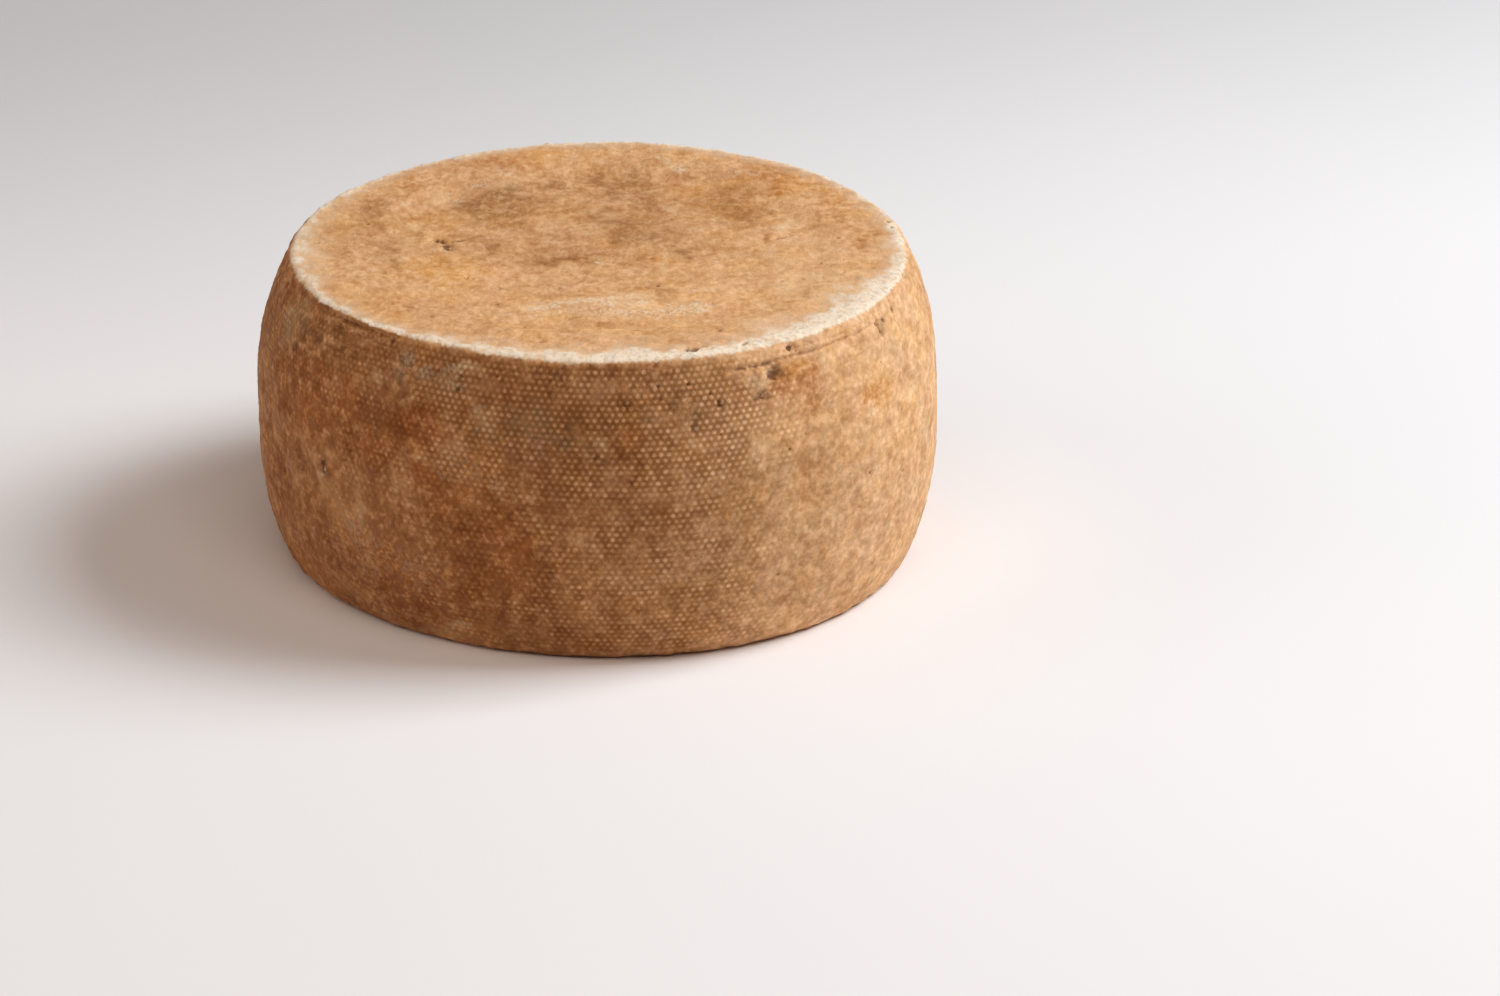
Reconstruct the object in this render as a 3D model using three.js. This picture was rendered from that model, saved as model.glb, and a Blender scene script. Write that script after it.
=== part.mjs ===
// A whole wheel of pressed, semi-hard cheese in its natural rind: a low barrel that bulges below the middle,
// with a sharp chalky rim, a shallow dish in the top face, the seam that the mould's lid leaves under the rim,
// and the slight sag, lobes and dents of a cheese turned by hand.
// Millimetres, +Z up, origin on the board that the wheel lies on, under the middle of its base.
import * as THREE from "three";

// Driving dimensions
const DIAMETER = 250; // across the bulge
const HEIGHT = 113; // board to rim
const TOP_FACE = 0.897; // radius of the top face over the bulge's radius
const BASE_FACE = 0.92; // radius of the base over the bulge's radius
const BULGE_LEVEL = 0.442; // height of the bulge over the wheel's height
const UPPER_FULLNESS = 2.82; // exponent of the side above the bulge: higher is fuller
const LOWER_FULLNESS = 2.48; // exponent of the side below the bulge

const RIM_ROUND = 2.6; // how far the rounding of the rim reaches along the side and the top
const BASE_ROUND = 4; // the same at the foot
const SEAM_DROP = 5.8; // the lid's seam, below the rim
const SEAM_DEPTH = 0.75;
const SEAM_HALF_WIDTH = 1.2;
const DISH_RADIUS = 84; // edge of the dish in the top face
const DISH_DEPTH = 1.9;
const DISH_EDGE = 15; // width over which the top face falls into the dish
const TOP_SLOPE = { x: 0.0034, y: 0.0063 }; // rise of the top face per millimetre, towards +X and +Y

// Facets
const SEGMENTS = 96;
const SIDE_STEPS = 18;
const ROUND_STEPS = 3;
const BASE_RINGS = 3;
const FACE_RINGS = 10;

const RADIUS = DIAMETER / 2;
const BULGE_Z = BULGE_LEVEL * HEIGHT;
const SEAM_Z = HEIGHT - SEAM_DROP;
const RIM_RADIUS = TOP_FACE * RADIUS;
const FOOT_RADIUS = BASE_FACE * RADIUS;

// Out-of-round lobes of the whole wheel, and soft lumps that fade out at the foot and the rim.
const LOBES = [
  { count: 3, height: 1.05, turn: 3.62 },
  { count: 2, height: 0.25, turn: 2.55 },
];
const SIDE_LUMPS = [
  { round: 5, up: 1, height: 0.5, turn: 0.4 },
  { round: 7, up: 2, height: 0.35, turn: 2.1 },
  { round: 11, up: 3, height: 0.22, turn: 4.4 },
];

// Where the lid's seam gapes: place round the wheel in degrees from +X, half width and share of its full depth.
const SEAM_GAPES = [
  { angle: 318, width: 48, share: 0.8 },
  { angle: 24, width: 57, share: 0.7 },
  { angle: 104, width: 39, share: 0.5 },
  { angle: 166, width: 44, share: 0.65 },
  { angle: 226, width: 22, share: 0.25 },
];

// Finger-wide dents of the side: place round the wheel in degrees from +X, height, half width and depth.
const SIDE_DENTS = [
  { angle: 226, z: 44, width: 9, depth: 0.9 },
  { angle: 247, z: 63, width: 13, depth: 0.8 },
  { angle: 308, z: 90, width: 6, depth: 0.9 },
  { angle: 334, z: 86, width: 7, depth: 0.8 },
  { angle: 28, z: 40, width: 12, depth: 0.9 },
  { angle: 95, z: 70, width: 11, depth: 1.0 },
  { angle: 158, z: 52, width: 12, depth: 0.8 },
];

// Lumps (positive) and dents of the top face.
const TOP_SWELLS = [
  { x: -62, y: 22, width: 20, height: -0.6 },
  { x: 40, y: 34, width: 24, height: 0.5 },
  { x: 66, y: -6, width: 9, height: 0.7 },
  { x: 12, y: -52, width: 26, height: 0.6 },
  { x: -20, y: -6, width: 22, height: -0.5 },
  { x: 4, y: 78, width: 20, height: -0.4 },
];

const bell = (distance, width) => Math.exp(-((distance / width) ** 2));
const smooth = (t) => {
  const c = Math.min(1, Math.max(0, t));
  return c * c * (3 - 2 * c);
};

// Radius of the barrel at a height, before lumps and lobes.
function sideRadius(z) {
  const above = z > BULGE_Z;
  const reach = above ? (z - BULGE_Z) / (HEIGHT - BULGE_Z) : (BULGE_Z - z) / BULGE_Z;
  const lost = above ? RADIUS - RIM_RADIUS : RADIUS - FOOT_RADIUS;
  const fullness = above ? UPPER_FULLNESS : LOWER_FULLNESS;
  return RADIUS - lost * reach ** fullness;
}

// Height of the top face at a distance from the axis: flat ring outside, dish inside.
function topHeight(r) {
  return HEIGHT - DISH_DEPTH * smooth((DISH_RADIUS - r) / DISH_EDGE + 0.5);
}

// Heights of the rings on the side, closer together across the seam.
function sideLevels() {
  const low = BASE_ROUND;
  const high = HEIGHT - RIM_ROUND;
  const levels = [-1.6, -0.8, 0, 0.8, 1.6].map((step) => SEAM_Z + step * SEAM_HALF_WIDTH);
  for (let i = 1; i < SIDE_STEPS; i++) {
    const z = low + ((high - low) * i) / SIDE_STEPS;
    if (Math.abs(z - SEAM_Z) > 2.4 * SEAM_HALF_WIDTH) levels.push(z);
  }
  return levels.sort((a, b) => a - b);
}

// The outline that is turned into the wheel, from the middle of the base out and up to the middle of the top.
function outline() {
  const point = (r, z) => new THREE.Vector2(r, z);
  const rounded = (from, corner, to) => new THREE.QuadraticBezierCurve(from, corner, to).getPoints(ROUND_STEPS);
  const baseFlat = FOOT_RADIUS - BASE_ROUND;
  const topFlat = RIM_RADIUS - RIM_ROUND;
  const sideTop = HEIGHT - RIM_ROUND;
  const base = Array.from({ length: BASE_RINGS }, (_, i) => point((baseFlat * i) / BASE_RINGS, 0));
  const foot = rounded(point(baseFlat, 0), point(FOOT_RADIUS, 0), point(sideRadius(BASE_ROUND), BASE_ROUND));
  const side = sideLevels().map((z) => point(sideRadius(z), z));
  const rim = rounded(point(sideRadius(sideTop), sideTop), point(RIM_RADIUS, HEIGHT), point(topFlat, HEIGHT));
  const face = Array.from({ length: FACE_RINGS }, (_, i) => {
    const r = topFlat * (1 - (i + 1) / FACE_RINGS);
    return point(r, topHeight(r));
  });
  return [...base, ...foot, ...side, ...rim, ...face];
}

// Distance round the side, the short way, from a place in degrees to an angle in radians.
function distanceRound(angle, degrees) {
  const turn = angle - THREE.MathUtils.degToRad(degrees);
  return RADIUS * Math.atan2(Math.sin(turn), Math.cos(turn));
}

// How open the lid's seam is at an angle: in gapes, and all but shut between them.
function seamOpening(angle) {
  let open = 0.12;
  for (const gape of SEAM_GAPES) open += gape.share * bell(distanceRound(angle, gape.angle), gape.width);
  return open;
}

// Outward push on the side at an angle and a height.
function sideRelief(angle, z) {
  let push = -SEAM_DEPTH * seamOpening(angle) * bell(z - SEAM_Z, SEAM_HALF_WIDTH);
  for (const { count, height, turn } of LOBES) push += height * Math.cos(count * angle - turn);
  const fade = Math.sin(Math.PI * Math.min(1, Math.max(0, z / HEIGHT)));
  for (const { round, up, height, turn } of SIDE_LUMPS) {
    push += height * fade * Math.sin(round * angle + turn) * Math.cos((up * Math.PI * z) / HEIGHT);
  }
  for (const dent of SIDE_DENTS) {
    const along = distanceRound(angle, dent.angle);
    push -= dent.depth * bell(Math.hypot(along, z - dent.z), dent.width);
  }
  return push;
}

// Rise of the top face at a point, zero at the base.
function topRelief(x, y, z) {
  let rise = TOP_SLOPE.x * x + TOP_SLOPE.y * y;
  for (const { x: cx, y: cy, width, height } of TOP_SWELLS) rise += height * bell(Math.hypot(x - cx, y - cy), width);
  return rise * smooth((z / HEIGHT - 0.55) / 0.4);
}

function wheelGeometry() {
  const geometry = new THREE.LatheGeometry(outline(), SEGMENTS).rotateX(Math.PI / 2);
  const position = geometry.getAttribute("position");
  for (let i = 0; i < position.count; i++) {
    const x = position.getX(i);
    const y = position.getY(i);
    const z = position.getZ(i);
    const r = Math.hypot(x, y);
    const share = smooth(r / RIM_RADIUS);
    const grown = r > 0 ? 1 + (share * sideRelief(Math.atan2(y, x), z)) / r : 1;
    position.setXYZ(i, x * grown, y * grown, z + topRelief(x, y, z));
  }
  geometry.computeBoundingBox();
  const middle = geometry.boundingBox.getCenter(new THREE.Vector3());
  geometry.translate(-middle.x, -middle.y, 0);
  geometry.computeVertexNormals();
  return geometry;
}

const rind = new THREE.MeshStandardMaterial({ color: 0xb98352, roughness: 0.82, metalness: 0 });
const wheel = new THREE.Mesh(wheelGeometry(), rind);
wheel.name = "cheese_wheel";

const group = new THREE.Group();
group.add(wheel);

export default group;
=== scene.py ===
import bpy
import bmesh
import math
import random
from mathutils import Matrix, Vector, kdtree, noise


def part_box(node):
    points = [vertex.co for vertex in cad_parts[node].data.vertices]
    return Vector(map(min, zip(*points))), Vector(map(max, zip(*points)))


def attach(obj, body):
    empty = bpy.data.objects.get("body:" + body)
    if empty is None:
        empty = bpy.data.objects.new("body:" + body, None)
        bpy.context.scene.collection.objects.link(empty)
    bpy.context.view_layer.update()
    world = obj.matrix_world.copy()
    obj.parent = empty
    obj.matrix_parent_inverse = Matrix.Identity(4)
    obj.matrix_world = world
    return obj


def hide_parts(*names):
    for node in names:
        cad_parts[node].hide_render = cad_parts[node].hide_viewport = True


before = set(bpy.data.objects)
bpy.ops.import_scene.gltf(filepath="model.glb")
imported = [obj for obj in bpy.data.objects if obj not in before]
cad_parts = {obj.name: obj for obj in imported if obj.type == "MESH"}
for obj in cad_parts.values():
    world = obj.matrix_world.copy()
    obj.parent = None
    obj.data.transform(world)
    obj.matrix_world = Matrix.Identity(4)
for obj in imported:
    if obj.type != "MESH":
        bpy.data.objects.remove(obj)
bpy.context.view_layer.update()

# A whole cheese in its natural rind, alone on a pale floor.
# Shapes are worked out in millimetres and brought to metres once, at the end of the mesh's making.
metresPerMm = 0.001


def smooth(t):
    c = min(1.0, max(0.0, t))
    return c * c * (3 - 2 * c)


def bell(distance, width):
    return math.exp(-((distance / width) ** 2))


def turnBetween(a, b):  # degrees from b to a, the short way
    return (a - b + 180) % 360 - 180


def wander(place, size, seed, octaves=3):  # soft noise about 0, mostly between -1 and 1
    return 1.6 * noise.fractal(place / size + Vector((seed, 3.7 * seed, -seed)), 0.9, 2.0, octaves)


def uneven(place, layers):  # soft noise about 1, from layers of (size, share, seed)
    return sum((share * wander(place, size, seed) for size, share, seed in layers), 1.0)


def drifting(place, size, reach, seed):  # soft noise in all three directions
    return reach * Vector([wander(place, size, seed + i) for i in range(3)])


# The wheel's form, the same as the solid that it stands for

wheel = dict(
    diameter=250, height=113,
    topFace=0.897, baseFace=0.92,  # radius of each face over the bulge's
    bulgeLevel=0.442,
    upperFullness=2.82, lowerFullness=2.48,  # higher is fuller
    rimRound=2.6, footRound=4,
    seamDrop=5.8, seamDepth=0.75, seamHalfWidth=1.2,
    seamGapes=[(318, 48, 0.8), (24, 57, 0.7), (104, 39, 0.5), (166, 44, 0.65),
               (226, 22, 0.25)],  # degrees, width, share
    seamElsewhere=0.12,  # share of its depth where it is all but shut
    dishRadius=84, dishDepth=1.9, dishEdge=15,
    slopeX=0.0034, slopeY=0.0063,
    lobes=[(3, 1.05, 3.62), (2, 0.25, 2.55)],  # count, height, turn
    lumps=[(5, 1, 0.5, 0.4), (7, 2, 0.35, 2.1), (11, 3, 0.22, 4.4)],  # round, up, height, turn
    dents=[(226, 44, 9, 0.9), (247, 63, 13, 0.8), (308, 90, 6, 0.9), (334, 86, 7, 0.8),
           (28, 40, 12, 0.9), (95, 70, 11, 1.0), (158, 52, 12, 0.8)],  # degrees, height, width, depth
    swells=[(-62, 22, 20, -0.6), (40, 34, 24, 0.5), (66, -6, 9, 0.7), (12, -52, 26, 0.6),
            (-20, -6, 22, -0.5), (4, 78, 20, -0.4)],  # x, y, width, height
)
radius = wheel["diameter"] / 2
height = wheel["height"]
bulgeZ = wheel["bulgeLevel"] * height
seamZ = height - wheel["seamDrop"]
rimRadius = wheel["topFace"] * radius
footRadius = wheel["baseFace"] * radius
rimFlat = rimRadius - wheel["rimRound"]  # where the top face ends and the rim's rounding starts
footFlat = footRadius - wheel["footRound"]


def sideRadius(z):
    above = z > bulgeZ
    reach = (z - bulgeZ) / (height - bulgeZ) if above else (bulgeZ - z) / bulgeZ
    lost = radius - (rimRadius if above else footRadius)
    return radius - lost * reach ** wheel["upperFullness" if above else "lowerFullness"]


def topHeight(r):
    return height - wheel["dishDepth"] * smooth((wheel["dishRadius"] - r) / wheel["dishEdge"] + 0.5)


def baseHeight(r):  # flat, and asked for in the same way as the top face's
    return 0.0


def distanceRound(angle, degrees):  # millimetres round the side, from degrees to radians
    return radius * math.radians(turnBetween(math.degrees(angle), degrees))


def seamOpening(angle):
    gapes = wheel["seamGapes"]
    opened = sum(share * bell(distanceRound(angle, at), width) for at, width, share in gapes)
    return wheel["seamElsewhere"] + opened


def sideRelief(angle, z):
    push = -wheel["seamDepth"] * seamOpening(angle) * bell(z - seamZ, wheel["seamHalfWidth"])
    for count, rise, turn in wheel["lobes"]:
        push += rise * math.cos(count * angle - turn)
    fade = math.sin(math.pi * min(1, max(0, z / height)))
    for count, up, rise, turn in wheel["lumps"]:
        push += rise * fade * math.sin(count * angle + turn) * math.cos(up * math.pi * z / height)
    for degrees, level, width, depth in wheel["dents"]:
        push -= depth * bell(math.hypot(distanceRound(angle, degrees), z - level), width)
    return push


def topRelief(x, y, z):
    rise = wheel["slopeX"] * x + wheel["slopeY"] * y
    for cx, cy, width, lift in wheel["swells"]:
        rise += lift * bell(math.hypot(x - cx, y - cy), width)
    return rise * smooth((z / height - 0.55) / 0.4)


def settled(place):  # a point of the plain turned form, moved to where the slumped wheel has it
    r = math.hypot(place.x, place.y)
    share = smooth(r / rimRadius)
    grown = 1 + share * sideRelief(math.atan2(place.y, place.x), place.z) / r if r > 0 else 1
    return Vector((place.x * grown, place.y * grown, place.z + topRelief(*place)))


# Cracks, pits and other hand-sized marks, on the plain turned form

def onTop(x, y):
    return Vector((x, y, topHeight(math.hypot(x, y))))


def onSide(degrees, z):
    a = math.radians(degrees)
    return Vector((sideRadius(z) * math.cos(a), sideRadius(z) * math.sin(a), z))


marks = dict(
    topCracks=[  # points, half width, depth, lip
        ([(-62, 10.5), (-57.4, 6.6)], 2.0, 1.0, 0.2),
        ([(-57.6, 7.0), (-56.0, -1.5)], 1.8, 1.1, 0.2),
        ([(-56.0, 7.6), (-49.4, 10.6)], 1.6, 0.8, 0.1),
        ([(-43.5, 4.5), (-41.5, 1.5)], 1.4, 0.45, 0.15),
        ([(-106, -2.5), (-103, -0.6), (-99.5, -1)], 0.7, 0.45, 0.1),
        ([(-47.2, -27), (-47.8, -31)], 0.7, 0.5, 0.0),
        ([(-72, -28), (-71.6, -29)], 0.7, 0.35, 0.0),
        ([(-35.8, -38.5), (-35.2, -39.5)], 0.8, 0.4, 0.0),
        ([(-14.6, -37.5), (-14, -39)], 0.8, 0.4, 0.0),
        ([(-36.6, -54), (-35.6, -56)], 0.8, 0.5, 0.0),
        ([(-25.4, -76.5), (-24.8, -78.5)], 1.0, 0.5, 0.0),
        ([(-18.8, -94), (-18.6, -96)], 0.9, 0.5, 0.1),
        ([(17.2, -6.5), (18, -8)], 1.1, 0.5, 0.1),
        ([(4, -10.5), (4.2, -12)], 0.7, 0.4, 0.0),
        ([(20.6, -34), (21.4, -36)], 1.1, 0.6, 0.1),
        ([(16.8, -36), (17.2, -38)], 0.9, 0.4, 0.1),
        ([(65.4, -28), (65.8, -30)], 0.8, 0.4, 0.0),
        ([(37.6, -61.5), (38.6, -62.5)], 1.0, 0.4, 0.0),
        ([(43.2, -80.5), (43.8, -82)], 1.0, 0.7, 0.1),
        ([(32.4, -101), (36.8, -96.8)], 2.3, 1.6, 0.3),
        ([(40.2, -99.2), (41.6, -98.2)], 1.1, 0.9, 0.1),
        ([(51.6, -95.5), (53.2, -91.5)], 0.9, 0.7, 0.1),
        ([(70.4, -79.5), (71.8, -77.6)], 0.9, 0.4, 0.05),
        ([(105.2, 29.2), (105.8, 27.6)], 1.0, 1.2, 0.3),
        ([(106.6, 23.4), (106.9, 22.4)], 0.8, 0.7, 0.0),
        ([(62.6, 13.2), (66, 15.6), (69, 17.6)], 0.9, 0.6, 0.3),
    ],
    sideCracks=[  # degrees and height of each point, half width, depth, lip
        ([(210, 110.4), (221, 110.9), (232, 110.9)], 0.6, 0.6, 0.55),
        ([(212, 107.6), (224, 108.2), (236, 108.0)], 0.5, 0.25, 0.25),
        ([(219.8, 60.5), (219.4, 57.5), (220.2, 54)], 1.5, 1.3, 0.5),
        ([(213, 53.5), (213.6, 51.5)], 1.2, 0.5, 0.1),
        ([(216.5, 107.8), (219, 108)], 0.8, 0.6, 0.0),
        ([(231, 110.6), (232, 110.4)], 0.9, 0.7, 0.0),
        ([(241.6, 105), (242.6, 104.6)], 0.9, 0.5, 0.0),
        ([(246.6, 105.4), (247, 103.6)], 1.0, 0.5, 0.1),
        ([(253.2, 106.2), (253.6, 105.8)], 0.8, 0.5, 0.0),
        ([(263.2, 105.2), (264.4, 104.8)], 0.9, 0.4, 0.0),
        ([(270.6, 81.6), (271.2, 80.4)], 1.1, 0.5, 0.0),
        ([(281.2, 105.4), (281.5, 104)], 1.0, 0.7, 0.0),
        ([(281.6, 101.4), (281.8, 99.5)], 0.8, 0.5, 0.0),
        ([(286.5, 105.2), (286.8, 104.2)], 1.0, 0.8, 0.0),
        ([(291.4, 98.8), (291.9, 95.8)], 1.1, 0.8, 0.0),
        ([(299.4, 98.6), (299, 96.6)], 1.4, 0.8, 0.1),
        ([(294, 107.2), (300.4, 107.3), (303.6, 107.7)], 0.8, 0.55, 0.1),
        ([(303, 107.7), (312, 107.4), (323, 107.2), (335, 107.0)], 0.6, 0.2, 0.25),
        ([(305, 109.9), (318, 109.7), (331, 109.4)], 0.5, 0.14, 0.2),
        ([(301.2, 106), (302.4, 104), (301.4, 101.6)], 1.7, 0.8, 0.2),
        ([(306.2, 111.4), (307.2, 110.2)], 1.7, 1.3, 0.15),
        ([(316, 102.2), (322, 101.2), (332, 101)], 0.45, 0.1, 0.06),
        ([(329.6, 108.4), (329.8, 102.8)], 0.9, 0.6, 0.15),
        ([(331.8, 107), (332.6, 106.2)], 1.0, 0.8, 0.1),
        ([(336.4, 108.2), (337.2, 106.6)], 1.0, 0.7, 0.1),
        ([(348.6, 111), (349.2, 110.2)], 0.9, 0.5, 0.0),
        ([(12, 62), (12.6, 56)], 0.9, 0.8, 0.2),
        ([(38, 101), (41, 99)], 1.2, 0.9, 0.1),
        ([(66, 104), (69, 103.4)], 1.0, 0.8, 0.1),
        ([(112, 80), (114, 71)], 0.9, 0.9, 0.2),
        ([(141, 95), (142, 90)], 1.0, 0.7, 0.1),
        ([(172, 70), (173, 66)], 1.1, 0.6, 0.1),
    ],
    pinholes=70, pinholeSeed=11,
    pinholeWidth=(0.45, 0.9), pinholeDepth=(0.3, 0.7), pinholesOnSide=0.62,
    finerWithin=(3.2, 1.5),  # two rounds of finer mesh, within these distances of a mark
    reach=3.2,  # half widths from its middle to where a mark ends, lip and all
    ragged=0.45,  # how far the noise moves a mark's edge, over its half width
)


def markList():  # every mark as (points, half width, depth, lip)
    made = [([onTop(*p) for p in points], *rest) for points, *rest in marks["topCracks"]]
    made += [([onSide(*p) for p in points], *rest) for points, *rest in marks["sideCracks"]]
    draw = random.Random(marks["pinholeSeed"])
    for _ in range(marks["pinholes"]):
        width, depth = draw.uniform(*marks["pinholeWidth"]), draw.uniform(*marks["pinholeDepth"])
        kind, degrees = draw.random(), draw.uniform(0, 360)
        if kind < marks["pinholesOnSide"]:  # most of these are high up
            at = onSide(degrees, 8 + 98 * draw.random() ** 0.6)
        else:
            r = rimFlat * math.sqrt(draw.uniform(0.02, 1.0))
            at = onTop(r * math.cos(math.radians(degrees)), r * math.sin(math.radians(degrees)))
        made.append(([at, at + Vector((0.01, 0.01, 0.0))], width, depth, 0.0))
    return made


def distanceAlong(place, points):  # distance to a broken line, and how far along it, 0 to 1
    best, along, passed = 1e9, 0.0, 0.0
    total = sum((b - a).length for a, b in zip(points, points[1:]))
    for a, b in zip(points, points[1:]):
        step = b - a
        t = min(1.0, max(0.0, (place - a).dot(step) / step.length_squared))
        gap = (place - a - step * t).length
        if gap < best:
            best, along = gap, (passed + t * step.length) / total
        passed += step.length
    return best, along


# The mesh: an outline turned into the wheel, with every third ring a row of the mould's nubs

mesh = dict(
    nubsRound=300,  # nubs of the mould's imprint round the wheel
    rowGap=2.09,  # from one row of nubs to the next, millimetres
    outlineSteps=400,  # of the side's curve, before it is divided evenly
    faceStep=1.25,  # between rings on the top face
    baseStep=5.0,
    innerFace=57.0,  # inside this radius half as many sectors do
    coreFace=27.0,  # and inside this a quarter
)
ringStep = mesh["rowGap"] / 3


def curved(start, corner, end, steps=24):  # a rounding, as a quadratic curve
    points = []
    for i in range(steps + 1):
        t = i / steps
        points.append(tuple((1 - t) ** 2 * a + 2 * t * (1 - t) * b + t * t * c
                            for a, b, c in zip(start, corner, end)))
    return points


def evenly(points, step):  # points at equal steps along a broken line
    lengths = [math.dist(a, b) for a, b in zip(points, points[1:])]
    count = round(sum(lengths) / step)
    gap = sum(lengths) / count
    out, passed = [points[0]], 0.0
    for a, b, length in zip(points, points[1:], lengths):
        while len(out) * gap <= passed + length and len(out) < count:
            t = (len(out) * gap - passed) / length
            out.append((a[0] + t * (b[0] - a[0]), a[1] + t * (b[1] - a[1])))
        passed += length
    return out + [points[-1]]


def wallOutline():  # from the foot up the side and over the rim, close enough for the imprint
    low, high = wheel["footRound"], height - wheel["rimRound"]
    foot = curved((footFlat, 0), (footRadius, 0), (sideRadius(low), low))
    steps = mesh["outlineSteps"]
    levels = [low + (high - low) * i / steps for i in range(1, steps)]
    side = [(sideRadius(z), z) for z in levels]
    rim = curved((sideRadius(high), high), (rimRadius, height), (rimFlat, height))
    return evenly(foot + side + rim, ringStep)


def flatRings(start, end, step, level):  # (radius, height) from start to end, both included
    count = max(1, round(abs(start - end) / step))
    radii = [start + (end - start) * i / count for i in range(count + 1)]
    return [(r, level(r)) for r in radii]


def turned(bm, outline, steps, wall=range(0)):  # spins (radius, height) points, the wall's rings staggered
    nub, onWall = bm.verts.layers.float["nub"], bm.verts.layers.float["wall"]
    half = math.pi / steps
    line = []
    for i, (r, z) in enumerate(outline):
        turn = half * (i % 2) if i in wall else 0.0
        vertex = bm.verts.new((r * math.cos(turn), r * math.sin(turn), z))
        vertex[onWall] = float(i in wall)
        vertex[nub] = float(i in wall and i % 3 == 0)
        line.append(vertex)
    edges = [bm.edges.new(pair) for pair in zip(line, line[1:])]
    bmesh.ops.spin(bm, geom=line + edges, cent=(0, 0, 0), axis=(0, 0, 1), dvec=(0, 0, 0),
                   angle=math.tau, steps=steps, use_merge=True)


def joinRings(bm, r, z, reach):  # bridges the two open rings nearest to a radius
    edges = [e for e in bm.edges if e.is_boundary
             and all(abs(math.hypot(v.co.x, v.co.y) - r) < reach and abs(v.co.z - z) < 3 for v in e.verts)]
    bmesh.ops.bridge_loops(bm, edges=edges)


def inOrder(bm):  # sorts vertices by place, and edges and faces by vertices: the same order on every run
    for i, v in enumerate(sorted(bm.verts, key=lambda v: v.co.to_tuple(3))):
        v.index = i
    bm.verts.sort()
    for elements in (bm.edges, bm.faces):
        for i, e in enumerate(sorted(elements, key=lambda e: sorted(v.index for v in e.verts))):
            e.index = i
        elements.sort()


def turnedWheel():
    bm = bmesh.new()
    bm.verts.layers.float.new("nub")
    bm.verts.layers.float.new("wall")
    count = mesh["nubsRound"]
    inner, core = mesh["innerFace"], mesh["coreFace"]
    faces = ((topHeight, mesh["faceStep"]), (baseHeight, mesh["baseStep"]))
    for level, step in faces:  # the small discs first, because each spin slows with what is there
        turned(bm, flatRings(core - step, 0.0, step, level), count // 4)
        turned(bm, flatRings(inner - step, core, step, level), count // 2)
    wall = wallOutline()
    base = flatRings(inner, footFlat, mesh["baseStep"], baseHeight)[:-1]
    top = flatRings(rimFlat, inner, mesh["faceStep"], topHeight)[1:]
    turned(bm, base + wall + top, count, wall=range(len(base), len(base) + len(wall)))
    bmesh.ops.remove_doubles(bm, verts=bm.verts, dist=0.02)
    for level, step in faces:
        joinRings(bm, inner - step / 2, level(0), step * 0.6)
        joinRings(bm, core - step / 2, level(0), step * 0.6)

    inOrder(bm)
    onWall = bm.verts.layers.float["wall"]
    wallFaces = [f for f in bm.faces if all(v[onWall] == 1.0 for v in f.verts)]
    halves = bmesh.ops.triangulate(bm, faces=wallFaces, quad_method="SHORT_EDGE")["faces"]
    edges = list(dict.fromkeys(e for f in halves for e in f.edges))
    bmesh.ops.beautify_fill(bm, faces=halves, edges=edges, method="ANGLE")
    bmesh.ops.recalc_face_normals(bm, faces=bm.faces)
    openEdges = sum(1 for e in bm.edges if not e.is_manifold)
    print("wheel turned:", len(wall), "rings round it,", len(bm.faces), "faces,", openEdges, "open edges")
    return bm


def vertexTree(bm):
    bm.verts.ensure_lookup_table()
    tree = kdtree.KDTree(len(bm.verts))
    for v in bm.verts:
        tree.insert(v.co, v.index)
    tree.balance()
    return tree


def nearLine(tree, points, step, reach):  # indices of the vertices within reach of a broken line
    near = set()
    for a, b in zip(points, points[1:]):
        steps = max(1, math.ceil((b - a).length / step))
        for i in range(steps + 1):
            near.update(hit[1] for hit in tree.find_range(a.lerp(b, i / steps), reach))
    return near


def refineAround(bm, allMarks):  # finer mesh where a mark is narrower than the mesh is wide
    for reach in marks["finerWithin"]:
        tree = vertexTree(bm)
        near = set()
        for points, width, *_ in allMarks:
            near |= nearLine(tree, points, 1.0, reach * (0.6 + 0.4 * width))
        edges = [e for e in bm.edges if all(v.index in near for v in e.verts)]
        bmesh.ops.subdivide_edges(bm, edges=edges, cuts=1, use_grid_fill=True)
        bmesh.ops.triangulate(bm, faces=[f for f in bm.faces if len(f.verts) > 4])
        inOrder(bm)
    print("marks:", len(allMarks), "cracks and pinholes,", len(bm.faces), "faces after the finer mesh")


# What grows and shows on the rind, as masks from 0 to 1 that the finish reads

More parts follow.
